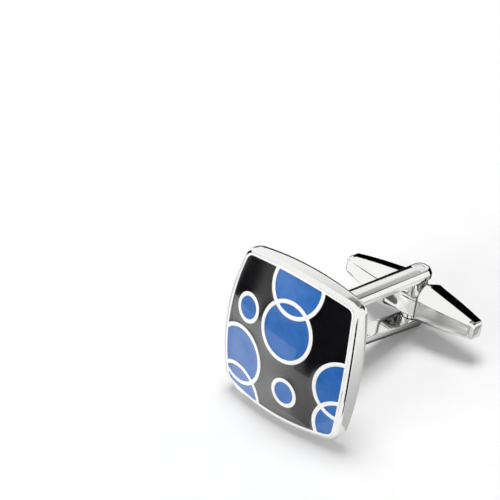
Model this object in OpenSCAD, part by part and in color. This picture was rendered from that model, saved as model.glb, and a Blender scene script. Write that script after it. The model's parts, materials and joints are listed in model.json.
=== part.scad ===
// Square cufflink with an enamelled face, a forked bracket and a swivelling toggle bar.
// It lies as it rests on a table: on the lower edge of its head and the end of the lower arm.
// +Z is up, the face looks to -Y, and the origin is the middle of the flat back of the head.
// Each piece is drawn upright, with the face vertical, and leaned back as a whole at the end.

/* [Head] */
// Width and height of the head at the middle of its sides
face_w = 16; // [13:0.5:19]
// How far each side bulges out between two corners
side_bulge = 0.77; // [0.4:0.05:1.2]
// Radius of the rounded corners
corner_r = 1.5; // [1.1:0.1:2.5]
// Depth of the side wall at the middle of a side
wall_h = 2.1; // [1.6:0.1:3]
// Radius of the domed front
dome_r = 30; // [24:1:60]
// Width of the plain rim round the enamel
rim_w = 0.65; // [0.4:0.05:0.9]

/* [Enamel] */
// Outer radius of the rings of the six large bubbles, as a share of half the face
bubble_share = 0.4; // [0.38:0.005:0.415]
// Outer radius of the rings of the two small dots, as a share of half the face
dot_share = 0.194; // [0.15:0.004:0.21]
// Width of the raised metal ring round each bubble
ring_w = 0.42; // [0.3:0.02:0.6]
// Depth of the cells that hold the enamel
cell_depth = 0.6; // [0.3:0.05:1]
// How far the enamel lies below the polished metal
enamel_drop = 0.03; // [0:0.01:0.1]
// Clearance between the enamel and its cell
enamel_gap = 0.01; // [0.005:0.005:0.03]

/* [Bracket] */
// Distance from the back of the head to the pivot pin
reach = 16.5; // [14:0.5:20]
// Clear gap between the arms at the pin
arm_gap = 4.3; // [4:0.05:5]
// Angle by which each arm splays outwards from the head
splay = 1.6; // [0:0.1:3]
// Width of an arm
arm_w = 2.3; // [2.1:0.1:2.8]
// Thickness of an arm at the top of its crown
arm_t = 1.15; // [1.05:0.05:1.4]
// Width of the crowned top of an arm, between its slanting sides
arm_top_w = 1.76; // [1.5:0.02:2]
// Rise of the crown over the width of the top
arm_crown = 0.17; // [0.1:0.01:0.25]
// Height of the upright edge of an arm, below its slanting side
arm_edge = 0.5; // [0.3:0.05:0.7]
// How far an arm runs on past the pin
arm_over = 1.4; // [1.3:0.05:2]
// Thickness of the web that joins the arms at the head
web_t = 1.2; // [0.8:0.1:2]
// Thickness of the round pad under the web
pad_t = 0.4; // [0.3:0.05:0.8]
// How far the pad reaches past the arms
pad_margin = 0.3; // [0.1:0.1:1]
// How far the bracket stands above the middle of the head
bracket_lift = 0.2; // [0:0.05:0.5]

/* [Pivot] */
// Radius of the pivot pin
pin_r = 0.6; // [0.5:0.05:0.7]
// Clearance between the pin and the bore of the toggle
pin_clearance = 0.05; // [0.02:0.01:0.1]

/* [Toggle] */
// Overall length of the toggle
toggle_l = 16.8; // [14:0.2:20]
// Height of the toggle along the pin, at its middle
toggle_h = 4.2; // [3.6:0.1:4.4]
// Height of the front of the toggle at its middle, over its rounded edges
toggle_front_h = 2.7; // [2.2:0.1:3]
// Height of the toggle at its ends
toggle_tip_h = 1.84; // [1.4:0.04:2]
// Distance from the pin to the flat front of the toggle
toggle_front = 2.35; // [1.8:0.05:2.6]
// Distance from the pin to the back of the toggle
toggle_back = 1; // [0.8:0.05:1.3]
// Distance from the pin's plane to the front of the toggle at its ends
toggle_tip_front = 1.05; // [0.8:0.05:1.3]
// Depth of the toggle at its ends, from front to back
toggle_tip_depth = 1.4; // [1.1:0.1:1.8]
// Width of the bevel along the front edges of the toggle
toggle_bevel = 0.25; // [0.1:0.05:0.4]
// Radius of the round hub in the middle of the toggle
hub_r = 1.5; // [1.3:0.05:1.8]
// Wall of the bosses round the bore for the pin
boss_wall = 0.4; // [0.3:0.05:0.5]
// Gap between an arm and the raised top of each wing beside it
neck_gap = 0.1; // [0.05:0.05:0.3]
// Clearance between the bosses of the hub and the arms
hub_clearance = 0.03; // [0.02:0.01:0.1]

/* [Hidden] */
$fn = 96;

// Overrun of every cut, past the face that it leaves
over = 0.5;

// Outline of the head: four side arcs and four corner arcs that meet smoothly
face_half = face_w / 2;
corner_x = face_half - side_bulge;
side_r = (corner_x * corner_x + side_bulge * side_bulge) / (2 * side_bulge);
side_centre = face_half - side_r;
corner_centre = (side_centre + sqrt(2 * pow(side_r - corner_r, 2) - side_centre * side_centre)) / 2;
side_angle = atan2(corner_centre, corner_centre - side_centre);
// Steps of a side arc: an odd number leaves a short flat in the middle, which the head stands on
side_steps = 9;
corner_steps = 8;

// Domed front: a ball whose surface meets the side wall at the middle of each side
dome_rise = dome_r - sqrt(dome_r * dome_r - face_half * face_half);
front_y = -(wall_h + dome_rise);
dome_y = front_y + dome_r;

// The bubbles grow with the face, and their places are shares of half the face: across, up
bubble_r = bubble_share * face_half;
dot_r = dot_share * face_half;
top_shares = [0.05, 0.82];
centre_shares = [0.05, 0.24];
left_shares = [-0.655, -0.41];
low_left_shares = [-0.66, -0.94];
right_shares = [0.94, -0.205];
low_right_shares = [0.97, -0.725];
dot_upper_shares = [-0.61, 0.25];
dot_lower_shares = [0.14, -0.55];
large_bubble_shares = [top_shares, centre_shares, left_shares, low_left_shares,
    right_shares, low_right_shares];
dot_shares = [dot_upper_shares, dot_lower_shares];

// The bubbles that overlap, two by two
pairs = [[top_shares, centre_shares], [left_shares, low_left_shares],
    [right_shares, low_right_shares]];

// Section of an arm: upright edges, slanting sides and a crown that is an arc across the top
arm_half = arm_w / 2;
arm_top_half = arm_top_w / 2;
arm_rise = arm_t - arm_edge;
arm_slant = (arm_half - arm_top_half) / (arm_rise - arm_crown);
crown_r = (arm_top_half * arm_top_half + arm_crown * arm_crown) / (2 * arm_crown);
arm_run = reach / cos(splay);
tip_centre = arm_over - arm_half;

// Web and pad of the bracket, from the places of the arms where they leave the head
web_half = arm_gap / 2 - reach * tan(splay) + arm_edge;
pad_r = web_half + arm_rise + pad_margin;

// Hub of the toggle: round, with a boss above and below it, in a neck between the two wings
hub_half = arm_gap / 2 - arm_half * tan(splay) - hub_clearance;
bore_r = pin_r + pin_clearance;
boss_r = bore_r + boss_wall;
neck_half = arm_half + neck_gap;
toggle_half = toggle_l / 2;
toggle_half_h = min(toggle_h / 2, hub_half);
front_half_h = toggle_front_h / 2;
hub_front_half = front_half_h - toggle_bevel;

// Ends of the toggle, drawn in to a nose
tip_back = toggle_tip_depth - toggle_tip_front;
tip_half_h = toggle_tip_h / 2;
tip_front_share = 0.93;
tip_front_half = tip_half_h * tip_front_share;
nose = toggle_tip_depth / 4;
nose_size = 0.7;
slice_t = nose / 10;
wing_shares = [0, 0.2, 0.4, 0.6, 0.8, 0.9, 1];

// Corners of the toggle's section: where the side is highest, how high the back is
shoulder_share = 0.5;
tip_shoulder_share = 0.25;
back_share = 0.8;

// Lean at rest: the table touches the back edge of the head and the crown at the lower arm's end
rest_y = reach + tip_centre * cos(splay);
rest_z = bracket_lift - arm_gap / 2 - tip_centre * sin(splay) - (arm_t - crown_r) * cos(splay);
rest_rise = face_half + rest_z;
lean = atan2(rest_rise, rest_y) - asin(crown_r / norm([rest_y, rest_rise]));

module leaned() {
    rotate([-lean, 0, 0]) children();
}

// Stands a flat shape up and gives it a depth, from the plane y = from towards the front
module upright(from, depth) {
    translate([0, from, 0]) rotate([90, 0, 0]) linear_extrude(depth) children();
}

// Points of an arc about the origin of the outline, from one angle to another
function arc(centre, radius, from, to, steps) = [for (i = [0:steps])
    centre + radius * [cos(from + (to - from) * i / steps), sin(from + (to - from) * i / steps)]];

function turned(points, angle) = [for (p = points)
    [p[0] * cos(angle) - p[1] * sin(angle), p[0] * sin(angle) + p[1] * cos(angle)]];

// One side arc and the corner arc that follows it, without the point where the next side starts
function side_and_corner(inset) = [
    for (p = arc([side_centre, 0], side_r - inset, -side_angle, side_angle, side_steps)) p,
    for (i = [1:corner_steps - 1])
        arc([corner_centre, corner_centre], corner_r - inset, side_angle, 90 - side_angle, corner_steps)[i]];

// Outline of the head, drawn in by a distance
module face_outline(inset) {
    polygon([for (side = [0, 90, 180, 270]) for (p = turned(side_and_corner(inset), side)) p]);
}

// Ball that the domed front is part of, drawn in by a distance
module dome(inset) {
    translate([0, dome_y, 0]) sphere(r = dome_r - inset, $fn = 300);
}

module bubble_disc(shares, radius) {
    translate(shares * face_half) circle(r = radius);
}

// Ground between the bubbles, with a clearance from the rings
module ground_cell(gap) {
    difference() {
        face_outline(rim_w + gap);
        for (shares = large_bubble_shares) bubble_disc(shares, bubble_r + gap);
        for (shares = dot_shares) bubble_disc(shares, dot_r + gap);
    }
}

// Inside of one bubble's ring, outside the ring of its neighbour
module bubble_cell(shares, neighbour, gap) {
    intersection() {
        face_outline(rim_w + gap);
        difference() {
            bubble_disc(shares, bubble_r - ring_w - gap);
            bubble_disc(neighbour, bubble_r + gap);
        }
    }
}

// Where two bubbles overlap, inside both rings
module lens_cell(shares, neighbour, gap) {
    intersection() {
        face_outline(rim_w + gap);
        bubble_disc(shares, bubble_r - ring_w - gap);
        bubble_disc(neighbour, bubble_r - ring_w - gap);
    }
}

module dot_cell(shares, gap) {
    bubble_disc(shares, dot_r - ring_w - gap);
}

// Cut of one flat shape into the front, down to the bottom of the cells
module cut() {
    difference() {
        upright(0, -front_y + over) children();
        dome(cell_depth);
    }
}

// Solid head with a domed front and a flat back, its cells cut into the dome
module head() {
    color("gainsboro") leaned() difference() {
        intersection() {
            upright(0, -front_y + over) face_outline(0);
            dome(0);
        }
        cut() ground_cell(0);
        for (pair = pairs) {
            cut() bubble_cell(pair[0], pair[1], 0);
            cut() bubble_cell(pair[1], pair[0], 0);
            cut() lens_cell(pair[0], pair[1], 0);
        }
        for (shares = dot_shares) cut() dot_cell(shares, 0);
    }
}

// Layer of enamel of a flat shape, domed above and below like its cell
module enamel(shade) {
    color(shade) leaned() difference() {
        intersection() {
            upright(0, -front_y + over) children();
            dome(enamel_drop);
        }
        dome(cell_depth - enamel_gap);
    }
}

module blue_bubble(shares, neighbour) {
    enamel("royalblue") bubble_cell(shares, neighbour, enamel_gap);
}

module blue_lens(pair) {
    enamel("royalblue") lens_cell(pair[0], pair[1], enamel_gap);
}

module blue_dot(shares) {
    enamel("royalblue") dot_cell(shares, enamel_gap);
}

module enamel_black() {
    enamel("black") ground_cell(enamel_gap);
}

module enamel_top_bubble() { blue_bubble(top_shares, centre_shares); }
module enamel_top_lens() { blue_lens(pairs[0]); }
module enamel_centre_bubble() { blue_bubble(centre_shares, top_shares); }
module enamel_left_bubble() { blue_bubble(left_shares, low_left_shares); }
module enamel_left_lens() { blue_lens(pairs[1]); }
module enamel_left_crescent() { blue_bubble(low_left_shares, left_shares); }
module enamel_right_bubble() { blue_bubble(right_shares, low_right_shares); }
module enamel_right_lens() { blue_lens(pairs[2]); }
module enamel_right_crescent() { blue_bubble(low_right_shares, right_shares); }
module enamel_dot_upper() { blue_dot(dot_upper_shares); }
module enamel_dot_lower() { blue_dot(dot_lower_shares); }

// Section of an arm: flat below, two upright edges, two slanting sides, a crowned top
module arm_section() {
    top = arm_t + arm_crown;
    top_half = arm_top_half - 2 * arm_crown * arm_slant;
    intersection() {
        translate([0, arm_t - crown_r]) circle(r = crown_r);
        polygon([[-arm_half, 0], [arm_half, 0], [arm_half, arm_edge], [top_half, top],
            [-top_half, top], [-arm_half, arm_edge]]);
    }
}

// The upper arm about the pivot axis, without its bore: a straight bar with a rounded end
module arm() {
    translate([0, 0, arm_gap / 2]) rotate([splay, 0, 0]) {
        translate([0, tip_centre, 0]) rotate([90, 0, 0]) linear_extrude(tip_centre + arm_run)
            arm_section();
        translate([0, tip_centre, 0]) rotate_extrude() intersection() {
            arm_section();
            square([arm_half, arm_t]);
        }
    }
}

// Both arms about the pivot axis
module arms() {
    arm();
    mirror([0, 0, 1]) arm();
}

module at_pivot() {
    translate([0, reach, bracket_lift]) children();
}

// Fork that carries the pin: two arms on a web and a round pad, soldered to the head
module bracket() {
    color("silver") leaned() difference() {
        intersection() {
            union() {
                at_pivot() arms();
                translate([0, 0, bracket_lift]) {
                    upright(web_t, web_t) square([arm_w, 2 * web_half], center = true);
                    upright(pad_t, pad_t) circle(r = pad_r);
                }
            }
            translate([-face_half, 0, -face_half]) cube([face_w, reach + arm_over + over, face_w]);
        }
        at_pivot() cylinder(r = pin_r, h = arm_gap + 2 * arm_t + 2 * over, center = true);
    }
}

// Riveted pin, its ends polished flush with the crowns of the arms
module pivot_pin() {
    color("lightgray") leaned() at_pivot() intersection() {
        cylinder(r = pin_r, h = arm_gap + 2 * arm_t + 2 * over, center = true);
        union() {
            arms();
            cube([arm_w, arm_w, arm_gap + arm_edge], center = true);
        }
    }
}

// Sizes of the toggle's section, at a share of the way from its middle to its end
function between(middle, end, share) = middle + (end - middle) * share;

// Thin slice of the toggle, square to its length: flat front, two bevels on each side, flat back
module toggle_slice(way, size) {
    bend = (way + 3 * way * way) / 4;
    front = -between(toggle_front, toggle_tip_front, bend) * size;
    back = between(toggle_back, tip_back, way) * size;
    half = between(toggle_half_h, tip_half_h, bend) * size;
    front_half = between(front_half_h, tip_front_half, way) * size;
    flat_half = front_half - toggle_bevel * size;
    bevel_y = front + toggle_bevel * size;
    shoulder = between(front, back, between(shoulder_share, tip_shoulder_share, way));
    back_half = between(front_half, half, back_share);
    rotate([90, 0, 90]) linear_extrude(slice_t) polygon([
        [front, -flat_half], [bevel_y, -front_half], [shoulder, -half], [back, -back_half],
        [back, back_half], [shoulder, half], [bevel_y, front_half], [front, flat_half]]);
}

// One half of the toggle bar, from its middle to its rounded end
module toggle_wing() {
    hull() {
        for (way = wing_shares) translate([way * (toggle_half - nose), 0, 0]) toggle_slice(way, 1);
        translate([toggle_half - slice_t, 0, 0]) toggle_slice(1, nose_size);
    }
}

// Room for the upper arm between the raised tops of the wings
module neck() {
    translate([-neck_half, -toggle_front - over, hub_front_half])
        cube([2 * neck_half, toggle_front + toggle_back + 2 * over, toggle_half_h]);
}

// Boat-shaped bar with a round hub in its neck, bored for the pin
module toggle() {
    color("gainsboro") leaned() at_pivot() difference() {
        union() {
            difference() {
                union() {
                    toggle_wing();
                    mirror([1, 0, 0]) toggle_wing();
                }
                neck();
                mirror([0, 0, 1]) neck();
            }
            cylinder(r = hub_r, h = 2 * hub_front_half, center = true);
            cylinder(r = boss_r, h = 2 * hub_half, center = true);
        }
        cylinder(r = bore_r, h = arm_gap, center = true);
    }
}

head();
enamel_black();
enamel_top_bubble();
enamel_top_lens();
enamel_centre_bubble();
enamel_left_bubble();
enamel_left_lens();
enamel_left_crescent();
enamel_right_bubble();
enamel_right_lens();
enamel_right_crescent();
enamel_dot_upper();
enamel_dot_lower();
bracket();
pivot_pin();
toggle();
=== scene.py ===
import json
import math

import bmesh
import bpy
import numpy as np
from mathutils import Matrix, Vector


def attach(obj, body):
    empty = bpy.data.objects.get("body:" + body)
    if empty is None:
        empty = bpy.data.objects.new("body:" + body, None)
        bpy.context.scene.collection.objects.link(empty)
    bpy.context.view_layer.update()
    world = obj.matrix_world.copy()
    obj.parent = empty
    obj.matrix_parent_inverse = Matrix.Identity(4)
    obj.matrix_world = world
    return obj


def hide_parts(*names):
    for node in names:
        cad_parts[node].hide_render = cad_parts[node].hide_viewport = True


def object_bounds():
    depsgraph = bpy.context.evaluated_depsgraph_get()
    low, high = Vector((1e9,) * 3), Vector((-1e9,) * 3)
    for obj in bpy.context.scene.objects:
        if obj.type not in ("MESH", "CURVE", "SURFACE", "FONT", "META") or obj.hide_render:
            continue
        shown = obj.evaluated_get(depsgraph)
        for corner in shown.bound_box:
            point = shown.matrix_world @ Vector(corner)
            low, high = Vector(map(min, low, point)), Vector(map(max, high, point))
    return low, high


# Square enamelled cufflink: polished metal, enamel and a small studio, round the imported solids.
# Shapes are worked out upright, in millimetres: x across the face, y from the face to the toggle,
# z up the face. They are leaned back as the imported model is, and turned to metres, at the end.

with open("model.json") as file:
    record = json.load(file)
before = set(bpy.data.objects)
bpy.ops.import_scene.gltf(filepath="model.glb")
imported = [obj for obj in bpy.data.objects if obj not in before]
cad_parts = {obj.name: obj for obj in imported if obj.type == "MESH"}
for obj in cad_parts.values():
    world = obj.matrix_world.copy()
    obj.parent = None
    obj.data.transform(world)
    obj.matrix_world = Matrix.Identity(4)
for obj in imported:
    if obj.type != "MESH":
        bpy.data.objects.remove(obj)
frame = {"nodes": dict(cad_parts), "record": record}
cad_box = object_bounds()
record = frame["record"]
MM = 0.001

# Points closer than this, in metres, are one point
MERGE_GAP = 1e-7

# Head, as in the part's source
FACE_HALF = 8.0
SIDE_BULGE = 0.77
CORNER_R = 1.5
WALL_H = 2.1
DOME_R = 30.0
RIM_W = 0.65
RING_W = 0.42
BUBBLE_R = 3.2
DOT_R = 1.552
CELL_DEPTH = 0.6

# Middles of the rings of the bubbles and of the small dots: across the face and up it
BUBBLES = np.array([[0.4, 6.56], [0.4, 1.92], [-5.24, -3.28], [-5.28, -7.52], [7.52, -1.64],
                    [7.76, -5.8]])
DOTS = np.array([[-4.88, 2.0], [1.12, -4.4]])

# Polished edges of the head: rounded front and back edges, a side wall that is eased in towards
# the back, and a sloping rim with a crowned bead on a small step
FRONT_ROUND = 0.2
BACK_ROUND = 0.16
BACK_EASE = 0.1
BACK_EASE_W = 0.55
RIM_SLOPE = 0.1
BEAD_W = 0.26
BEAD_STEP_W = 0.03

# Rings and bead: the fall of their crown, how deep they stand under the dome, how far a ring runs
# in under the bead, and how far they all lie below the dome
CROWN_DROP = 0.045
RING_ROOT = 0.3
RING_TUCK = 0.14
RING_SINK = 0.004

# Bracket, as in the part's source
REACH = 16.5
LIFT = 0.2
ARM_GAP = 4.3
SPLAY = math.radians(1.6)
ARM_HALF = 1.15
ARM_T = 1.15
ARM_TOP_HALF = 0.88
ARM_CROWN = 0.17
ARM_EDGE = 0.5
ARM_OVER = 1.4
WEB_T = 1.2
PAD_T = 0.4
PAD_R = 3.14
PIN_R = 0.6

# Polished edges of an arm: its inner edge, the top of its side and its shoulder. Its points lie on
# its flat inside at these places across, and closer together over the last run before the pin
EDGE_ROUND = 0.09
SIDE_TOP_ROUND = 0.4
SHOULDER_ROUND = 0.3
SHOULDER_RUN = 0.3
INSIDE_PLACES = (0, 0.5, 0.9)
FINE_RUN = 1.3

# Web and pad: their roundings. Both are sunk a little into the head, and the web stays a step below
# the arms' edges
WEB_CORNER = 0.3
WEB_ROUND = 0.2
WEB_SINK = 0.05
WEB_STEP = 0.05
PAD_ROUND = 0.14
PAD_SINK = 0.02

# Where the rivet was ground flat: how high the flat is, how wide, and how steeply it runs out. The
# pin's ends stand a hair proud of it, and its shank reaches into the arms
SPOT_HEIGHT = 1.02
SPOT_R = 0.84
SPOT_RISE = 1.2
PIN_PROUD = 0.02
PIN_ROOT = 0.2
PIN_INTO = 0.3

# Toggle, as in the part's source
TOGGLE_HALF = 8.4
TOGGLE_HALF_H = 2.088
FRONT_HALF_H = 1.35
TOGGLE_FRONT = 2.35
TOGGLE_BACK = 1.0
TIP_FRONT = 1.05
TIP_BACK = 0.35
TIP_HALF_H = 0.92
TIP_FRONT_SHARE = 0.93
BEVEL = 0.25
SHOULDER_SHARE = 0.5
TIP_SHOULDER_SHARE = 0.25
BACK_SHARE = 0.8
HUB_R = 1.5
BOSS_R = 1.05
HUB_HALF = 2.088
NECK_HALF = 1.25

# Polishing leaves the backs of the wings a little prouder, and their shoulders further back by a
# share of the section's depth
WING_PROUD = 0.25
SHOULDER_BACK_SHARE = 0.1

# Roundings of the toggle: its blunt ends, the bowed inner ends of its wings, the eight corners of
# its section from the front round, which shrink to a share at the tips, the hub and the bosses
NOSE = 0.5
NOSE_POWER = 2.7
INNER_ROUND = 0.3
INNER_BOW = 0.8
INNER_FADE_W = 2.2
CORNER_ROUNDS = np.array([0.3, 0.14, 0.12, 0.16, 0.16, 0.12, 0.14, 0.3])
TIP_ROUND_SHARE = 0.7
TIP_BEVEL_SHARE = 0.8
HUB_ROUND = 0.1
BOSS_ROUND = 0.06

# Neck between the arms: how high it may be, how it is bevelled, and how far it runs into each wing
NECK_HALF_H = FRONT_HALF_H - BEVEL
NECK_EDGE = 0.04
NECK_BEVEL = 0.2
NECK_TUCK = 1.2

# Painted shade: a dark line along the inner end of each wing, where the gap beside the hub lies
# in shadow: how far out it lies, how wide it is, how it is bowed, and the share of light that it
# takes
WING_SHADE_FROM = 0.12
WING_SHADE_W = 0.11
WING_SHADE_BOW = INNER_BOW * 0.9
WING_SHADE_SHARE = 0.95

# Lean of the model at rest, read from the way of the shank, which is square to the head's back, and
# height of the table, at the lowest place of the solids
WAY = record["mounts"][0]["axis"]
LEAN = np.array([[1, 0, 0], [0, WAY[1], -WAY[2]], [0, WAY[2], WAY[1]]])
LEAN_ANGLE = math.atan2(-WAY[2], WAY[1])
FLOOR_Z = cad_box[0][2]

# Dome of the front: a ball about a point on the middle line
DOME_RISE = DOME_R - math.sqrt(DOME_R ** 2 - FACE_HALF ** 2)
DOME_Y = DOME_R - WALL_H - DOME_RISE


def between(start, end, share):
    """The value at a share of the way from one to the other."""
    return start + (end - start) * share


def leaned(points):
    """Upright millimetres to the model's metres: a turn about the x axis by the lean."""
    return points @ LEAN.T * MM


def dome(x, z):
    """Depth of the domed front at a place: the front half of the ball's surface."""
    return DOME_Y - np.sqrt(DOME_R ** 2 - x ** 2 - z ** 2)


def quads(rows, columns, loop_rows, loop_columns):
    """Faces of a grid of points; a looped way joins its last line to its first."""
    r, c = np.meshgrid(np.arange(rows - (not loop_rows)), np.arange(columns - (not loop_columns)),
                       indexing="ij")
    r2, c2 = (r + 1) % rows, (c + 1) % columns
    faces = np.stack([r * columns + c, r2 * columns + c, r2 * columns + c2, r * columns + c2], -1)
    return faces.reshape(-1, 4)


def piece(name, grids, material, body="head", stands_for=(), sharp=38):
    """One object from grids of upright points, each given as (points, loop rows, loop columns).

    Points that meet are merged, each closed shell is turned outwards, and edges that bend by more
    than the sharp angle stay crisp."""
    points, faces, start = [], [], 0
    for grid, loop_rows, loop_columns in grids:
        rows, columns = grid.shape[:2]
        points.append(grid.reshape(-1, 3))
        faces.append(quads(rows, columns, loop_rows, loop_columns) + start)
        start += rows * columns
    mesh = bpy.data.meshes.new(name)
    mesh.from_pydata(leaned(np.concatenate(points)), [], np.concatenate(faces).tolist())
    shell = bmesh.new()
    shell.from_mesh(mesh)
    bmesh.ops.remove_doubles(shell, verts=shell.verts, dist=MERGE_GAP)
    bmesh.ops.recalc_face_normals(shell, faces=shell.faces)
    shell.to_mesh(mesh)
    shell.free()
    mesh.shade_smooth()
    mesh.set_sharp_from_angle(angle=math.radians(sharp))
    return dress(bpy.data.objects.new(name, mesh), material, body, stands_for)


def dress(thing, material, body, stands_for):
    """Puts an object in the scene with its material and body, and hides the nodes it stands for."""
    bpy.context.scene.collection.objects.link(thing)
    thing.data.materials.clear()
    thing.data.materials.append(material)
    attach(thing, body)
    if stands_for:
        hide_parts(*stands_for)
    return thing


class Outline:
    """A closed flat outline made of arcs that meet smoothly.

    Each point is an arc's centre plus its radius along a direction, so drawing the outline in by
    a distance only takes that much off every radius."""

    def __init__(self, centre, radius, angle):
        self.centre, self.radius = centre, radius
        self.direction = np.stack([np.cos(angle), np.sin(angle)], -1)

    def at(self, inset):
        """The outline drawn in by a distance."""
        return self.centre + (self.radius - inset)[:, None] * self.direction


def turned(points, angle):
    """Flat points turned about the origin."""
    c, s = math.cos(angle), math.sin(angle)
    return points @ np.array([[c, s], [-s, c]])


def face_outline(side_steps=64, corner_steps=24):
    """The head's outline: a long side arc and a short corner arc, four times round."""
    corner_x = FACE_HALF - SIDE_BULGE
    side_r = (corner_x ** 2 + SIDE_BULGE ** 2) / (2 * SIDE_BULGE)
    side_c = FACE_HALF - side_r
    corner_c = (side_c + math.sqrt(2 * (side_r - CORNER_R) ** 2 - side_c ** 2)) / 2
    bend = math.atan2(corner_c, corner_c - side_c)
    angle = np.concatenate([np.linspace(-bend, bend, side_steps, endpoint=False),
                            np.linspace(bend, math.pi / 2 - bend, corner_steps, endpoint=False)])
    radius = np.concatenate([np.full(side_steps, side_r), np.full(corner_steps, CORNER_R)])
    centre = np.concatenate([np.tile([side_c, 0.0], (side_steps, 1)),
                             np.tile([corner_c, corner_c], (corner_steps, 1))])
    turns = [k * math.pi / 2 for k in range(4)]
    return (Outline(np.concatenate([turned(centre, t) for t in turns]), np.tile(radius, 4),
                    np.concatenate([angle + t for t in turns])), side_r, side_c)


HEAD_OUTLINE, SIDE_R, SIDE_C = face_outline()
SIDE_CENTRES = np.array([[SIDE_C, 0], [0, SIDE_C], [-SIDE_C, 0], [0, -SIDE_C]])


def inset_of(flat):
    """How far flat points lie inside the four side arcs of the head."""
    away = np.linalg.norm(flat[..., None, :] - SIDE_CENTRES, axis=-1)
    return (SIDE_R - away).min(axis=-1)


def stand(flat, depth):
    """Flat points (x, z) at a depth y."""
    return np.stack([flat[..., 0], np.broadcast_to(depth, flat.shape[:-1]), flat[..., 1]], -1)


def slab(outline, front, back, rounding, steps=6):
    """A plate between two depths: its outline carried over a rounded front and back edge.

    Each edge is a quarter circle from the flat to the side, and each flat closes at its middle."""
    phi = np.linspace(0, math.pi / 2, steps)
    insets = rounding * (1 - np.sin(phi))
    rise = rounding * (1 - np.cos(phi))
    middle = outline.at(0).mean(axis=0)
    rows = [stand(np.broadcast_to(middle, outline.centre.shape), front)]
    rows += [stand(outline.at(d), front + r) for d, r in zip(insets, rise)]
    rows += [stand(outline.at(d), back - r) for d, r in zip(insets[::-1], rise[::-1])]
    rows += [stand(np.broadcast_to(middle, outline.centre.shape), back)]
    return np.stack(rows), False, True


def rim_drop(d):
    """How far the rim lies behind the dome at an inset: a quarter-round edge, a slope up to the
    bead, and a small step under it."""
    edge = FRONT_ROUND - np.sqrt(FRONT_ROUND ** 2 - np.clip(FRONT_ROUND - d, 0, None) ** 2)
    start = RIM_W - BEAD_W
    slope = RIM_SLOPE * np.clip(1 - d / start, 0, None)
    return edge + slope + np.where(d > start + BEAD_STEP_W, 2 * CROWN_DROP, 0)


def crowned_band(width, columns):
    """Closed section of a crowned band: the places across it, and how far each lies under its top.

    The crown falls with the fourth power of the way from the middle, and two corners lie deep."""
    share = np.concatenate([np.linspace(-1, 1, columns), [1, -1]])
    fall = np.concatenate([CROWN_DROP * np.abs(share[:columns]) ** 4, [RING_ROOT, RING_ROOT]])
    return share * width / 2, fall


def rim_bead():
    """The narrow crowned band at the inner edge of the rim, carried round the outline."""
    across, fall = crowned_band(BEAD_W, columns=13)
    rows = []
    for d, f in zip(RIM_W - BEAD_W / 2 + across, fall):
        flat = HEAD_OUTLINE.at(d)
        rows.append(stand(flat, dome(flat[:, 0], flat[:, 1]) + f + RING_SINK))
    return np.stack(rows), True, True


def head_shell():
    """Back, side wall, rim and cell floor of the head: one profile carried round the outline.

    From the back the profile is a quarter round, an inset that fades with the square of the way
    over the eased band, the straight wall, the rim's own drop behind the dome, and the cell floor
    at its depth under the dome."""
    phi = np.linspace(0, math.pi / 2, 9)
    rows = [stand(HEAD_OUTLINE.at(BACK_EASE + BACK_ROUND) * k, 0) for k in (0, 0.35, 0.7, 1)]
    rows += [stand(HEAD_OUTLINE.at(BACK_EASE + BACK_ROUND * (1 - math.sin(p))),
                   -BACK_ROUND * (1 - math.cos(p))) for p in phi[1:]]
    rows += [stand(HEAD_OUTLINE.at(BACK_EASE * max(1 - k, 0) ** 2), -BACK_ROUND - BACK_EASE_W * k)
             for k in (0.1, 0.25, 0.4, 0.55, 0.7, 0.85, 1, 1.1)]
    insets = np.concatenate([FRONT_ROUND * (1 - np.cos(phi)),
                             np.linspace(FRONT_ROUND, RIM_W, 22)[1:]])
    for d in insets:
        flat = HEAD_OUTLINE.at(d)
        rows.append(stand(flat, dome(flat[:, 0], flat[:, 1]) + rim_drop(d)))
    for k in (1, 0.75, 0.5, 0.25, 0):
        flat = HEAD_OUTLINE.at(RIM_W) * k
        rows.append(stand(flat, dome(flat[:, 0], flat[:, 1]) + CELL_DEPTH))
    return np.stack(rows), False, True


def ring(middle, outer_r, steps=160, fine_steps=1440):
    """A crowned metal ring: a band's closed section carried round its circle, on the dome.

    Where the circle runs into the rim, which is looked for in fine steps, only the arc inside it is
    drawn, and its two ends close on themselves."""
    mid_r = outer_r - RING_W / 2
    turn = np.linspace(0, 2 * math.pi, fine_steps, endpoint=False)
    circle = middle + mid_r * np.stack([np.cos(turn), np.sin(turn)], -1)
    inside = inset_of(circle) > RIM_W - RING_TUCK
    whole = bool(inside.all())
    if whole:
        turn = np.linspace(0, 2 * math.pi, steps, endpoint=False)
    else:
        first = int(np.argmax(inside & ~np.roll(inside, 1)))
        turn = turn[first] + np.linspace(0, 2 * math.pi * (inside.sum() - 1) / fine_steps, steps)
    across, fall = crowned_band(RING_W, columns=17)
    way = np.stack([np.cos(turn), np.sin(turn)], -1)
    flat = middle + (mid_r + across)[None, :, None] * way[:, None, :]
    if not whole:
        centre = flat.mean(axis=1, keepdims=True)
        flat = np.concatenate([np.broadcast_to(centre[:1], flat[:1].shape), flat,
                               np.broadcast_to(centre[-1:], flat[-1:].shape)])
        end_fall = np.full((1, len(fall)), RING_ROOT / 2)
        fall = np.concatenate([end_fall, np.broadcast_to(fall, (steps, len(fall))), end_fall])
    depth = dome(flat[..., 0], flat[..., 1]) + fall + RING_SINK
    return stand(flat, depth), whole, True


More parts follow.
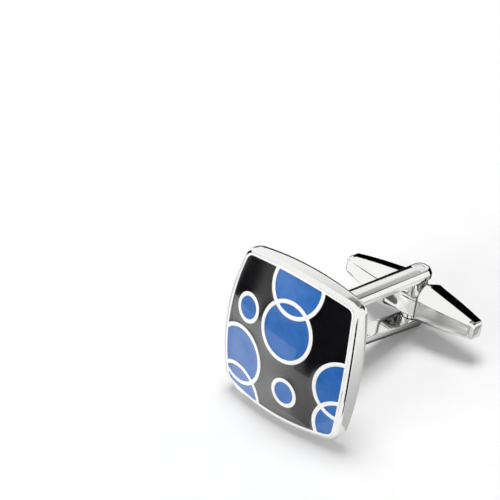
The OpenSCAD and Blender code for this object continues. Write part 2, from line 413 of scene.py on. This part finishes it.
def rounded(corners, radii, steps):
    """Closed corners (..., corner, 2) with each corner replaced by an arc of its radius.

    The arc touches both sides; its points turn evenly from one touching point to the other."""
    before = np.roll(corners, 1, axis=-2) - corners
    after = np.roll(corners, -1, axis=-2) - corners
    before /= np.linalg.norm(before, axis=-1, keepdims=True)
    after /= np.linalg.norm(after, axis=-1, keepdims=True)
    half = np.arccos(np.clip((before * after).sum(-1), -1, 1)) / 2
    radii = np.broadcast_to(radii, half.shape)
    centre = before + after
    centre = corners + centre / np.linalg.norm(centre, axis=-1, keepdims=True) * (
        radii / np.sin(half))[..., None]
    start = corners + before * (radii / np.tan(half))[..., None] - centre
    end = corners + after * (radii / np.tan(half))[..., None] - centre
    spread = (math.pi - 2 * half)[..., None, None]
    share = np.linspace(0, 1, steps)[:, None]
    arcs = (np.sin((1 - share) * spread) * start[..., None, :]
            + np.sin(share * spread) * end[..., None, :]) / np.sin(spread)
    return (centre[..., None, :] + arcs).reshape(*corners.shape[:-2], -1, 2)


# Arms: radius of the crown, middle of the round tip past the pin, and length down to the head
CROWN_R = (ARM_TOP_HALF ** 2 + ARM_CROWN ** 2) / (2 * ARM_CROWN)
TIP_CENTRE = ARM_OVER - ARM_HALF
ARM_RUN = REACH / math.cos(SPLAY)


def crown(x):
    """Height of an arm's crowned top across it: an arc from one shoulder to the other."""
    return ARM_T - CROWN_R + np.sqrt(CROWN_R ** 2 - x ** 2)


def arm_section(steps=9):
    """Half of an arm's section, from the middle of its flat inside to the middle of its crown.

    Its corners at the inner edge, the top of the side and the shoulder are arcs. The others, past
    the middle and on the crown, only give those three their sides."""
    shoulder = ARM_T - ARM_CROWN
    inner = ARM_TOP_HALF - SHOULDER_RUN
    corners = np.array([[-ARM_HALF, 0], [ARM_HALF, 0], [ARM_HALF, ARM_EDGE],
                        [ARM_TOP_HALF, shoulder], [inner, crown(inner)], [-ARM_HALF, ARM_T]])
    radii = np.array([EDGE_ROUND, EDGE_ROUND, SIDE_TOP_ROUND, SHOULDER_ROUND, EDGE_ROUND, EDGE_ROUND])
    corner_arcs = rounded(corners, radii, steps)
    inside = [[x, 0] for x in INSIDE_PLACES]
    top = np.linspace(inner, 0, 12)
    return np.concatenate([inside, corner_arcs[steps:4 * steps],
                           np.stack([top, crown(top)], -1)])


def splayed(points, side):
    """Points of an arm drawn flat, with the pin at y = 0, put in place above or below the middle.

    They are turned about the pin by the splay, and mirrored for the lower arm."""
    c, s = math.cos(SPLAY), math.sin(SPLAY)
    y = points[..., 1] * c - points[..., 2] * s
    z = points[..., 1] * s + points[..., 2] * c + ARM_GAP / 2
    return np.stack([points[..., 0], y + REACH, side * z + LIFT], -1)


def arm(side):
    """An arm: half of its section carried up one edge, round the tip and back down the other.

    Round the pin, where the points lie closer, its crown is cut by a flat that runs out in a short
    slope."""
    section = arm_section()
    along = np.concatenate([np.linspace(-ARM_RUN, -FINE_RUN, 40)[:-1],
                            np.linspace(-FINE_RUN, TIP_CENTRE, 32)])
    phi = np.linspace(0, math.pi, 49)[1:-1]
    n = len(along)
    x, z = section[:, 0], section[:, 1]
    path_x = np.concatenate([np.ones(n), np.cos(phi), -np.ones(n)])
    path_y = np.concatenate([along, TIP_CENTRE + 0 * phi, along[::-1]])
    out = np.concatenate([np.zeros(n), np.sin(phi), np.zeros(n)])
    grid = np.stack([path_x[:, None] * x, path_y[:, None] + out[:, None] * x,
                     np.broadcast_to(z, (len(path_x), len(x)))], -1)
    away = np.hypot(grid[..., 0], grid[..., 1])
    spot = SPOT_HEIGHT + SPOT_RISE * np.clip(away - SPOT_R, 0, None)
    grid[..., 2] = np.minimum(grid[..., 2], spot)
    cap = np.stack([grid[0], grid[-1]])
    return [(splayed(grid, side), False, False), (splayed(cap, side), False, False)]


def arc_outline(half_x, half_z, radius, steps=16):
    """Outline of a rectangle with rounded corners, or a circle when the halves equal the radius."""
    angle = np.concatenate([np.linspace(0, math.pi / 2, steps, endpoint=radius < half_x) + k
                            * math.pi / 2 for k in range(4)])
    signs = np.array([[1, 1], [-1, 1], [-1, -1], [1, -1]])
    centre = np.repeat(signs * [half_x - radius, half_z - radius], steps, axis=0)
    return Outline(centre.astype(float), np.full(len(angle), float(radius)), angle)


def lifted(grid):
    """The same grid moved up to the bracket's height."""
    points, loop_rows, loop_columns = grid
    return points + np.array([0, 0, LIFT]), loop_rows, loop_columns


def spun(radii, heights, steps=72):
    """A turned form about the pivot: a radius for each height, carried round the pin's axis."""
    turn = np.linspace(0, 2 * math.pi, steps, endpoint=False)
    points = np.stack([np.outer(radii, np.cos(turn)), np.outer(radii, np.sin(turn)),
                       np.broadcast_to(np.array(heights)[:, None], (len(radii), steps))], -1)
    return points + np.array([0, REACH, LIFT]), False, True


def drum(radius, half, rounding, steps=7):
    """A turned drum, closed at both ends, whose edges are quarter circles."""
    phi = np.linspace(0, math.pi / 2, steps)
    radii = np.concatenate([[0], radius - rounding * (1 - np.sin(phi)),
                            (radius - rounding * (1 - np.sin(phi)))[::-1], [0]])
    heights = np.concatenate([[half], half - rounding * (1 - np.cos(phi)),
                              -(half - rounding * (1 - np.cos(phi)))[::-1], [-half]])
    return spun(radii, heights)


def pin_head(side, rings=14, steps=64):
    """End of the pin: a disc on the flat of the arm, a hair proud, with a rounded edge.

    Its height falls off with the eighth power of the way out from its middle."""
    share = np.concatenate([np.linspace(0, 1, rings), [1, 0]])[:, None]
    turn = np.linspace(0, 2 * math.pi, steps, endpoint=False)
    height = SPOT_HEIGHT + PIN_PROUD * (1 - 2 * share ** 8) + 0 * turn
    height[-2:] = PIN_ROOT
    disc = np.stack([PIN_R * share * np.cos(turn), PIN_R * share * np.sin(turn), height], -1)
    return splayed(disc, side), False, True


def bar_section(x, limit=None, steps=7):
    """The toggle's eight-cornered section at distances from its middle: an arc at each corner,
    and three more points along each flat.

    Front and height shrink by a quarter of the way plus three quarters of its square, back and
    front height with the way; a limit cuts the section's height for the neck."""
    way = np.clip(x / (TOGGLE_HALF - NOSE), 0, 1)
    bend = (way + 3 * way ** 2) / 4
    front = -between(TOGGLE_FRONT, TIP_FRONT, bend)
    back = between(TOGGLE_BACK, TIP_BACK, way) + (0 if limit else WING_PROUD)
    half = between(TOGGLE_HALF_H, TIP_HALF_H, bend)
    front_half = between(FRONT_HALF_H, TIP_HALF_H * TIP_FRONT_SHARE, way)
    bevel = BEVEL * between(1, TIP_BEVEL_SHARE, way)
    if limit:
        half, front_half, bevel = (np.full(len(x), v) for v in (limit, limit - NECK_EDGE, NECK_BEVEL))
    shoulder = between(front, back, between(SHOULDER_SHARE, TIP_SHOULDER_SHARE, way)
                       + (0 if limit else SHOULDER_BACK_SHARE))
    back_half = between(front_half, half, BACK_SHARE)
    y = np.stack([front, front + bevel, shoulder, back, back, shoulder, front + bevel, front], -1)
    z = np.stack([front_half - bevel, front_half, half, back_half, -back_half, -half, -front_half,
                  bevel - front_half], -1)
    radii = CORNER_ROUNDS * between(1, TIP_ROUND_SHARE, way)[:, None]
    arcs = rounded(np.stack([y, z], -1), radii, steps)
    arcs = arcs.reshape(len(x), len(CORNER_ROUNDS), steps, 2)
    quarters = np.array([0.25, 0.5, 0.75])[:, None]
    flats = between(arcs[:, :, -1:], np.roll(arcs, -1, axis=1)[:, :, :1], quarters)
    section = np.concatenate([arcs, flats], axis=2).reshape(len(x), -1, 2)
    middle = np.stack([(front + back) / 2, 0 * way], -1)[:, None]
    return section, middle


def wing(side):
    """A wing: the section carried outwards from the neck, closed at both rounded ends.

    Each end closes about the section's middle, the outer one along a blunt curve. Seen from above
    the inner end is bowed: its front and back edges lie further out, by the square of their way
    from the middle, and the bow fades along the wing."""
    turn = np.linspace(0, math.pi / 2, 7)
    x = np.concatenate([[NECK_HALF], NECK_HALF + INNER_ROUND * (1 - np.cos(turn)),
                        np.linspace(NECK_HALF + INNER_ROUND, TOGGLE_HALF - NOSE, 54)[1:-1],
                        TOGGLE_HALF - NOSE + NOSE * np.sin(np.linspace(0, math.pi / 2, 18))])
    over = np.clip((x - TOGGLE_HALF + NOSE) / NOSE, 0, 1)
    size = (1 - over ** NOSE_POWER) ** (1 / NOSE_POWER)
    size[1:1 + len(turn)] = 1 - INNER_ROUND * (1 - np.sin(turn)) / TOGGLE_HALF_H
    size[0] = 0
    section, middle = bar_section(x)
    section = middle + (section - middle) * size[:, None, None]
    depth = (section[..., 0] - middle[..., 0]) / (TOGGLE_FRONT + TOGGLE_BACK) * 2
    fade = np.clip(1 - (x - NECK_HALF) / INNER_FADE_W, 0, 1)[:, None]
    bowed = x[:, None] + INNER_BOW * depth ** 2 * fade ** 2
    return np.stack([side * bowed, section[..., 0] + REACH, section[..., 1] + LIFT], -1), False, True


def neck(steps=17):
    """The lower part of the bar between the arms, carried from one wing into the other.

    At both ends the section closes about its middle."""
    x = np.linspace(-NECK_HALF - NECK_TUCK, NECK_HALF + NECK_TUCK, steps)
    section, middle = bar_section(np.abs(x), NECK_HALF_H)
    section[[0, -1]] = middle[[0, -1]]
    return np.stack([np.broadcast_to(x[:, None], section.shape[:2]), section[..., 0] + REACH,
                     section[..., 1] + LIFT], -1), False, True


class Value:
    """A socket of a material; Python's operators on it add Math nodes."""

    def __init__(self, board, socket):
        self.board, self.socket = board, socket

    def maths(self, operation, *others, turn=False):
        """A Math node on this value and others; turned, the other one comes first."""
        pair = (others[0], self) if turn else (self, *others)
        return self.board.add("ShaderNodeMath", {"operation": operation}, dict(enumerate(pair)))

    def __add__(self, other):
        return self.maths("ADD", other)

    def __radd__(self, other):
        return self.maths("ADD", other, turn=True)

    def __sub__(self, other):
        return self.maths("SUBTRACT", other)

    def __rsub__(self, other):
        return self.maths("SUBTRACT", other, turn=True)

    def __mul__(self, other):
        return self.maths("MULTIPLY", other)

    def __rmul__(self, other):
        return self.maths("MULTIPLY", other, turn=True)

    def __truediv__(self, other):
        return self.maths("DIVIDE", other)

    def __rtruediv__(self, other):
        return self.maths("DIVIDE", other, turn=True)


class Board:
    """A material's or the world's node tree, to which nodes are added one by one."""

    def __init__(self, owner):
        owner.use_nodes = True
        self.tree = owner.node_tree
        self.tree.nodes.clear()

    def add(self, kind, settings=None, inputs=None, output=0):
        """Adds a node: its settings first, a ramp's stops among them, then its sockets."""
        node = self.tree.nodes.new(kind)
        for key, value in (settings or {}).items():
            if key == "stops":
                ramp = node.color_ramp.elements
                while len(ramp) < len(value):
                    ramp.new(0.5)
                for stop, (place, shade) in zip(ramp, value):
                    stop.position = place
                    stop.color = (*shade, 1)
            else:
                setattr(node, key, value)
        for key, value in (inputs or {}).items():
            if isinstance(value, Value):
                self.tree.links.new(value.socket, node.inputs[key])
            else:
                node.inputs[key].default_value = value
        return Value(self, node.outputs[output] if node.outputs else None)

    def place(self, scale=(1, 1, 1), turn=(0, 0, 0)):
        """Object coordinates, scaled and turned."""
        where = self.add("ShaderNodeTexCoord", output="Object")
        return self.add("ShaderNodeMapping", inputs={"Vector": where, "Scale": scale,
                                                     "Rotation": turn})

    def upright(self):
        """Object coordinates in millimetres, with the model's lean taken out."""
        return self.place((1 / MM, 1 / MM, 1 / MM), (LEAN_ANGLE, 0, 0))

    def noise(self, where, size, detail=3, rough=0.5):
        """Noise from 0 to 1 over a place in metres; its patches are about size millimetres wide."""
        return self.add("ShaderNodeTexNoise", inputs={"Vector": where, "Scale": 1 / (size * MM),
                                                      "Detail": detail, "Roughness": rough})

    def ramp(self, value, *stops):
        """A colour ramp between stops, each given as (place, colour)."""
        return self.add("ShaderNodeValToRGB", {"stops": stops}, {"Fac": value})

    def bump(self, height, distance, strength=1.0, under=None):
        """A bump, as deep in metres as distance where the height is 1, over another one if given."""
        inputs = {"Height": height, "Distance": distance, "Strength": strength}
        if under is not None:
            inputs["Normal"] = under
        return self.add("ShaderNodeBump", inputs=inputs)

    def seen(self):
        """1 for rays from the camera and for mirrored and refracted ones, 0 for diffuse light."""
        ways = [self.add("ShaderNodeLightPath", output=way)
                for way in ("Is Camera Ray", "Is Glossy Ray", "Is Transmission Ray")]
        return (ways[0] + ways[1] + ways[2]).maths("MINIMUM", 1.0)

    def finish(self, kind, inputs, target="ShaderNodeOutputMaterial"):
        """The last shader, joined to the output."""
        shade = self.add(kind, inputs=inputs)
        self.add(target, inputs={"Surface": shade})


# Grain of the finishes, in millimetres: patches and streaks of the plate, mottle and fine grain of
# the enamel, and mottle of the table's paper; then how deep the streaks and the fine grain are
PATCH_W = 0.8
STREAK_W = 0.09
MOTTLE_W = 1.2
GRAIN_W = 0.07
PAPER_W = 4.0
STREAK_DEPTH = 0.006
GRAIN_DEPTH = 0.0006

# Least share of the plate's colour that its patches keep
PATCH_SHARE = 0.97

# Most roughness that the fine grain adds to the enamel
GRAIN_ROUGHNESS = 0.05


def painted_wing_shade(board):
    """Painted shade beside the arms, along the bowed inner edge of each wing, where the gap by the
    hub lies in shadow.

    It is strongest on a line that follows the bow, and falls off on both sides as a bell curve."""
    upright = board.upright()
    x = board.add("ShaderNodeSeparateXYZ", inputs={0: upright}, output="X").maths("ABSOLUTE")
    y = board.add("ShaderNodeSeparateXYZ", inputs={0: upright}, output="Y")
    depth = (y - (REACH + (TOGGLE_BACK - TOGGLE_FRONT) / 2)) * (2 / (TOGGLE_FRONT + TOGGLE_BACK))
    way = (x - (NECK_HALF + WING_SHADE_FROM) - depth * depth * WING_SHADE_BOW) / WING_SHADE_W
    return (way * way * -1).maths("EXPONENT") * WING_SHADE_SHARE


def plate(name, colour, dull, bright, metallic=1.0, painted_shade=None):
    """Bright plate: clear reflections, patches that are a little duller, and faint polishing.

    Painted shade, where there is one, is a function that gives the share of darkening."""
    finish = bpy.data.materials.new(name)
    board = Board(finish)
    cloud = board.noise(board.place(), PATCH_W, detail=4, rough=0.6)
    along = board.place(scale=(1, 0.12, 1), turn=(0.3, 0.2, 0.5))
    streaks = board.noise(along, STREAK_W, rough=0.6)
    tint = board.ramp(cloud, (0.3, tuple(c * PATCH_SHARE for c in colour)), (0.7, colour))
    # Painted shade: the colour is scaled down by the share that the function gives
    if painted_shade:
        tint = board.add("ShaderNodeVectorMath", {"operation": "SCALE"},
                         {0: tint, "Scale": 1 - painted_shade(board)})
    board.finish("ShaderNodeBsdfPrincipled", {
        "Base Color": tint, "Metallic": metallic, "Roughness": bright + cloud * (dull - bright),
        "Normal": board.bump(streaks, MM * STREAK_DEPTH, strength=0.01)})
    return finish


def enamel(name, deep, light, gloss_index, coat_index, satin, meniscus, reach):
    """Glossy enamel: a satin body, slowly mottled in its colour, under an even and clear skin.

    The body climbs to every ring and to the rim: its height is the sum, over the eight rings and
    the four sides, of an exponential of the distance to that edge."""
    finish = bpy.data.materials.new(name)
    board = Board(finish)
    upright = board.upright()
    x = board.add("ShaderNodeSeparateXYZ", inputs={0: upright}, output="X")
    z = board.add("ShaderNodeSeparateXYZ", inputs={0: upright}, output="Z")
    flat = board.add("ShaderNodeCombineXYZ", inputs={"X": x, "Z": z})

    def away(point):
        return board.add("ShaderNodeVectorMath", {"operation": "DISTANCE"},
                         {0: flat, 1: (point[0], 0, point[1])}, output="Value")

    height = None
    rings = [(p, BUBBLE_R) for p in BUBBLES] + [(p, DOT_R) for p in DOTS]
    for point, radius in rings:
        edge = (away(point) - (radius - RING_W / 2)).maths("ABSOLUTE") - RING_W / 2
        climb = (edge / -reach).maths("EXPONENT")
        height = climb if height is None else height + climb
    for point in SIDE_CENTRES:
        edge = SIDE_R - RIM_W - away(point)
        height = height + (edge / -reach).maths("EXPONENT")
    mottle = board.noise(board.place(), MOTTLE_W, rough=0.55)
    fine = board.noise(board.place(scale=(1, 0.3, 1)), GRAIN_W, detail=2, rough=0.6)
    colour = board.ramp(mottle, (0.25, deep), (0.75, light))
    shape = board.bump(height, MM * meniscus)
    board.finish("ShaderNodeBsdfPrincipled", {
        "Base Color": colour, "Roughness": satin + fine * GRAIN_ROUGHNESS, "IOR": gloss_index,
        "Coat Weight": 1.0, "Coat Roughness": 0.03, "Coat IOR": coat_index,
        "Normal": board.bump(fine, MM * GRAIN_DEPTH, under=shape)})
    return finish


# Finishes: white metal for the head, the arms and the toggle, paler rings, a greyer pin, two enamels
WHITE_METAL = (0.9, 0.9, 0.89)
HEAD_PLATE = plate("bright_plate", WHITE_METAL, dull=0.09, bright=0.04)
RING_PLATE = plate("ring_plate", (0.97, 0.97, 0.955), dull=0.42, bright=0.34, metallic=0.15)
ARM_PLATE = plate("arm_plate", WHITE_METAL, dull=0.12, bright=0.05)
# The toggle's plate carries a painted shade line along the inner ends of its wings
BAR_PLATE = plate("bar_plate", WHITE_METAL, dull=0.09, bright=0.04, painted_shade=painted_wing_shade)
PIN_PLATE = plate("pin_plate", (0.86, 0.86, 0.85), dull=0.16, bright=0.08)
BLACK_ENAMEL = enamel("black_enamel", deep=(0.002, 0.002, 0.003), light=(0.006, 0.006, 0.008),
                      gloss_index=1.9, coat_index=1.7, satin=0.16, meniscus=0.11, reach=0.42)
BLUE_ENAMEL = enamel("blue_enamel", deep=(0.01, 0.108, 0.4), light=(0.028, 0.157, 0.48),
                     gloss_index=1.45, coat_index=1.5, satin=0.2, meniscus=0.1, reach=0.4)


# Cosine of the widest angle between a face of the dome and the ball's radius
DOME_FACING = 0.95


def enamel_piece(node, material):
    """A layer of enamel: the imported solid's own edges, with the ball's true normals on its face.

    The mesh is a merged copy. Corners on a face that looks nearly along the ball's radius take the
    radius as their normal, and all others keep their own face's."""
    mesh = frame["nodes"][node].data.copy()
    shell = bmesh.new()
    shell.from_mesh(mesh)
    bmesh.ops.remove_doubles(shell, verts=shell.verts, dist=MERGE_GAP)
    bmesh.ops.recalc_face_normals(shell, faces=shell.faces)
    shell.to_mesh(mesh)
    shell.free()
    points = np.empty(len(mesh.vertices) * 3)
    mesh.vertices.foreach_get("co", points)
    corner = np.empty(len(mesh.loops), dtype=np.int64)
    mesh.loops.foreach_get("vertex_index", corner)
    normal = np.empty(len(mesh.polygons) * 3)
    mesh.polygons.foreach_get("normal", normal)
    sides = np.empty(len(mesh.polygons), dtype=np.int64)
    mesh.polygons.foreach_get("loop_total", sides)
    own = np.repeat(normal.reshape(-1, 3), sides, axis=0)
    radius = points.reshape(-1, 3)[corner] - leaned(np.array([0, DOME_Y, 0]))
    radius /= np.linalg.norm(radius, axis=1, keepdims=True)
    along = (own * radius).sum(axis=1)
    fair = np.where((np.abs(along) > DOME_FACING)[:, None], radius * np.sign(along)[:, None], own)
    mesh.shade_smooth()
    mesh.normals_split_custom_set(fair.tolist())
    mesh.materials.clear()
    thing = bpy.data.objects.new(node.replace("enamel", "layer"), mesh)
    return dress(thing, material, "head", (node,))


# Head: its shell, the rings on its dome and the layers of enamel between them
piece("head_shell", [head_shell()], HEAD_PLATE, stands_for=("head",))
piece("rings_and_bead", [ring(p, BUBBLE_R) for p in BUBBLES] + [ring(p, DOT_R) for p in DOTS]
      + [rim_bead()], RING_PLATE, sharp=50)
for node_name in sorted(n for n in frame["nodes"] if n.startswith("enamel_")):
    black = node_name == "enamel_black"
    enamel_piece(node_name, BLACK_ENAMEL if black else BLUE_ENAMEL)

# Bracket: both arms, the web between them and the pad on the head's back
WEB_HALF = ARM_GAP / 2 - REACH * math.tan(SPLAY) + ARM_EDGE - WEB_STEP
web = lifted(slab(arc_outline(ARM_HALF, WEB_HALF, WEB_CORNER), -WEB_SINK, WEB_T, WEB_ROUND))
pad = lifted(slab(arc_outline(PAD_R, PAD_R, PAD_R, 24), -PAD_SINK, PAD_T, PAD_ROUND))
piece("arms_and_web", arm(1) + arm(-1) + [web, pad], ARM_PLATE, stands_for=("bracket",))

# Pin: a straight shank and two ends laid flush on the arms
SHANK_HALF = ARM_GAP / 2 + PIN_INTO
shank = spun([0, PIN_R, PIN_R, 0], [SHANK_HALF, SHANK_HALF, -SHANK_HALF, -SHANK_HALF])
piece("riveted_pin", [shank, pin_head(1), pin_head(-1)], PIN_PLATE, stands_for=("pivot_pin",))

# Toggle: two wings, the neck between them, and the round hub with a boss towards each arm
hub = drum(HUB_R, NECK_HALF_H, HUB_ROUND)
boss = drum(BOSS_R, HUB_HALF, BOSS_ROUND)
piece("toggle_bar", [wing(1), wing(-1), neck(), hub, boss], BAR_PLATE, body="toggle",
      stands_for=("toggle",))


# Studio, in metres: half the table's width, how far off its glow is full, and where the lamps look
FLOOR_HALF = 1.5
FAR_FLOOR = 0.8
LOOK_AT = (0, 0.008, 0)

# Strengths: the table's glow at its middle, what is added to it far off, and the white room's light
# on what is lit by it, where 1 is what is seen and mirrored of it
FLOOR_GLOW = 0.06
FAR_GLOW = 0.7
TENT = 0.4


def studio():
    """A white room round a pale table, whose glow grows with the square of the way out."""
    floor_finish = bpy.data.materials.new("paper_floor")
    board = Board(floor_finish)
    mottle = board.noise(board.place(), PAPER_W, detail=2)
    paper = board.add("ShaderNodeBsdfDiffuse", inputs={
        "Color": board.ramp(mottle, (0.3, (0.79, 0.79, 0.79)), (0.7, (0.81, 0.81, 0.81)))})
    far = board.add("ShaderNodeVectorMath", {"operation": "LENGTH"}, {0: board.place()},
                    output="Value")
    rise = (far / FAR_FLOOR).maths("MINIMUM", 1.0)
    glow = board.add("ShaderNodeEmission", inputs={
        "Strength": board.seen() * (FLOOR_GLOW + rise * rise * FAR_GLOW)})
    both = board.add("ShaderNodeAddShader", inputs={0: paper, 1: glow})
    board.add("ShaderNodeOutputMaterial", inputs={"Surface": both})
    mesh = bpy.data.meshes.new("floor")
    mesh.from_pydata([(x * FLOOR_HALF, y * FLOOR_HALF, FLOOR_Z)
                      for x, y in ((-1, -1), (1, -1), (1, 1), (-1, 1))], [], [(0, 1, 2, 3)])
    floor = bpy.data.objects.new("floor", mesh)
    mesh.materials.append(floor_finish)
    bpy.context.scene.collection.objects.link(floor)

    world = bpy.data.worlds.new("studio_world")
    bpy.context.scene.world = world
    board = Board(world)
    board.finish("ShaderNodeBackground", {"Color": (1, 1, 1, 1),
                                          "Strength": TENT + board.seen() * (1 - TENT)},
                 "ShaderNodeOutputWorld")


def card(name, headings, distances, heights, tones, rows=16, columns=40):
    """A bent glowing card round the table, seen only in reflections, where its tone paints light and
    shade.

    It runs between two headings, counted from the front to the right, and from a foot to a top,
    each at its own distance and height over the table. Its tone is blended smoothly from its
    corners: the foot's two ends, then the top's."""
    u, v = np.meshgrid(np.linspace(0, 1, columns), np.linspace(0, 1, rows))
    angle = np.radians(between(headings[0], headings[1], u))
    away = between(distances[0], distances[1], v) * MM
    grid = np.stack([np.sin(angle) * away, -np.cos(angle) * away,
                     FLOOR_Z + between(heights[0], heights[1], v) * MM], -1)
    su, sv = u * u * (3 - 2 * u), v * v * (3 - 2 * v)
    tone = between(between(tones[0], tones[1], su), between(tones[2], tones[3], su), sv)
    mesh = bpy.data.meshes.new(name)
    mesh.from_pydata(grid.reshape(-1, 3), [], quads(rows, columns, False, False).tolist())
    mesh.attributes.new("tone", "FLOAT", "POINT").data.foreach_set("value", tone.ravel())
    mesh.materials.append(CARD_GLOW)
    thing = bpy.data.objects.new(name, mesh)
    thing.visible_camera = thing.visible_diffuse = thing.visible_shadow = False
    thing.visible_transmission = False
    bpy.context.scene.collection.objects.link(thing)


def card_glow():
    """Glow of the cards, as bright as the tone that each card's points carry: painted reflections."""
    finish = bpy.data.materials.new("card_glow")
    board = Board(finish)
    tone = board.add("ShaderNodeAttribute", {"attribute_name": "tone"}, output="Fac")
    white = board.add("ShaderNodeCombineColor", inputs={"Red": tone, "Green": tone,
                                                        "Blue": tone})
    board.finish("ShaderNodeEmission", {"Color": white, "Strength": 1.0})
    return finish


def soft_lamp(name, heading, height, distance, size, power):
    """A square lamp that looks at the part from a heading and a height, in degrees.

    It lights the part and the table, and isn't seen in the polished metal."""
    lamp = bpy.data.lights.new(name, "AREA")
    lamp.shape, lamp.size, lamp.energy = "SQUARE", size, power
    thing = bpy.data.objects.new(name, lamp)
    a, e = math.radians(heading), math.radians(height)
    back = Vector((math.sin(a) * math.cos(e), -math.cos(a) * math.cos(e), math.sin(e)))
    thing.location = Vector(LOOK_AT) + back * distance
    thing.rotation_euler = back.to_track_quat("Z", "Y").to_euler()
    thing.visible_glossy = False
    bpy.context.scene.collection.objects.link(thing)


CARD_GLOW = card_glow()
studio()

# Cards in front and on the left: four that stand, and two that lie on the table. Their tones paint
# light and dark patches into the reflections, and the floor darker where the part's shadow falls
card("far_left_card", (-80, -55), (50, 50), (0, 22), (0, 0, 0, 0))
card("front_left_card", (-55, -43), (50, 50), (0, 26), (0, 0.2, 0, 1.1))
card("front_card", (-43, -16), (50, 50), (0, 28), (0.2, 0, 1.1, 0.02))
card("front_right_card", (-20, 16), (24, 30), (0, 28), (0, 0, 0, 0))
card("floor_card", (-62, 30), (6.5, 26), (0.1, 0.1), (1.25, 0.3, 1.2, 0.05))
card("left_floor_card", (-94, -62), (9, 45), (0.1, 0.1), (0.75, 0.85, 0.7, 0.7))

# Cards lying on the table, from the right round to the back: painted reflections of the floor,
# with painted shade where the part's shadow falls
card("wall_card", (84, 136), (5, 34), (0.1, 0.1), (0.5, 0.5, 0.95, 0.95))
card("tip_card", (136, 150), (3, 34), (0.1, 0.1), (0.5, 0.9, 0.22, 0.22))
card("edge_card", (150, 178), (3, 34), (0.1, 0.1), (0.95, 0.05, 0.6, 0.05))
card("under_card", (178, 205), (3, 34), (0.1, 0.1), (0.03, 0.03, 0.3, 0.8))

# Dark cards, mirrored as the thin lines along the edges of the head and the arms
card("shade_card", (205, 228), (17, 30), (0.1, 0.1), (0.03, 0.05, 0.03, 0.1))
card("far_shade_card", (205, 240), (30, 62), (0.1, 0.1), (0.03, 0.05, 0.03, 0.05))
card("left_edge_card", (240, 262), (9, 14), (0.1, 0.1), (0.1, 0.1, 0.1, 0.1))
card("right_edge_card", (66, 80), (13, 18), (0.1, 0.1), (0.05, 0.05, 0.05, 0.05))
card("right_card", (56, 80), (18, 18), (0, 16), (0, 0, 0, 0))
card("back_card", (165, 187), (27, 27), (0, 11), (0, 0, 0, 0))
card("back_left_card", (187, 217), (27, 27), (0, 7.7), (0, 0, 0, 0))
card("rear_card", (140, 162), (40, 40), (12, 30), (0.05, 0.05, 0.05, 0.05))
card("line_card", (198, 240), (60, 60), (0, 14.5), (0.03, 0.03, 0.03, 0.03))

# Pale cards standing behind, painted reflections of the bright room; the first is dark towards its
# top, a painted fall-off of the light above
card("high_card", (150, 198), (60, 60), (12, 60), (0.7, 0.8, 0.12, 0.12))
card("side_card", (198, 246), (60, 60), (14.5, 70), (0.95, 1, 0.6, 1.1))

soft_lamp("top_lamp", heading=215, height=77, distance=0.5, size=0.22, power=1.85)
soft_lamp("front_lamp", heading=-10, height=14, distance=0.5, size=0.3, power=1.25)

# Camera: fitted to the photograph, from the right and above, with a slight roll. Its place is in
# millimetres, its turn in degrees, and its lens is this many times as long as the sensor is wide
CAMERA_PLACE = (208.659, -206.477, 242.450)
CAMERA_TURN = (51.723, 2.757, 43.977)
LENS_TIMES = 8.0

camera = bpy.data.cameras.new("camera")
camera.sensor_width = 36
camera.lens = LENS_TIMES * camera.sensor_width
camera.clip_start = 0.01
camera_thing = bpy.data.objects.new("camera", camera)
camera_thing.location = [p * MM for p in CAMERA_PLACE]
camera_thing.rotation_euler = [math.radians(a) for a in CAMERA_TURN]
bpy.context.scene.collection.objects.link(camera_thing)
bpy.context.scene.camera = camera_thing
bpy.context.scene.view_settings.view_transform = "Standard"
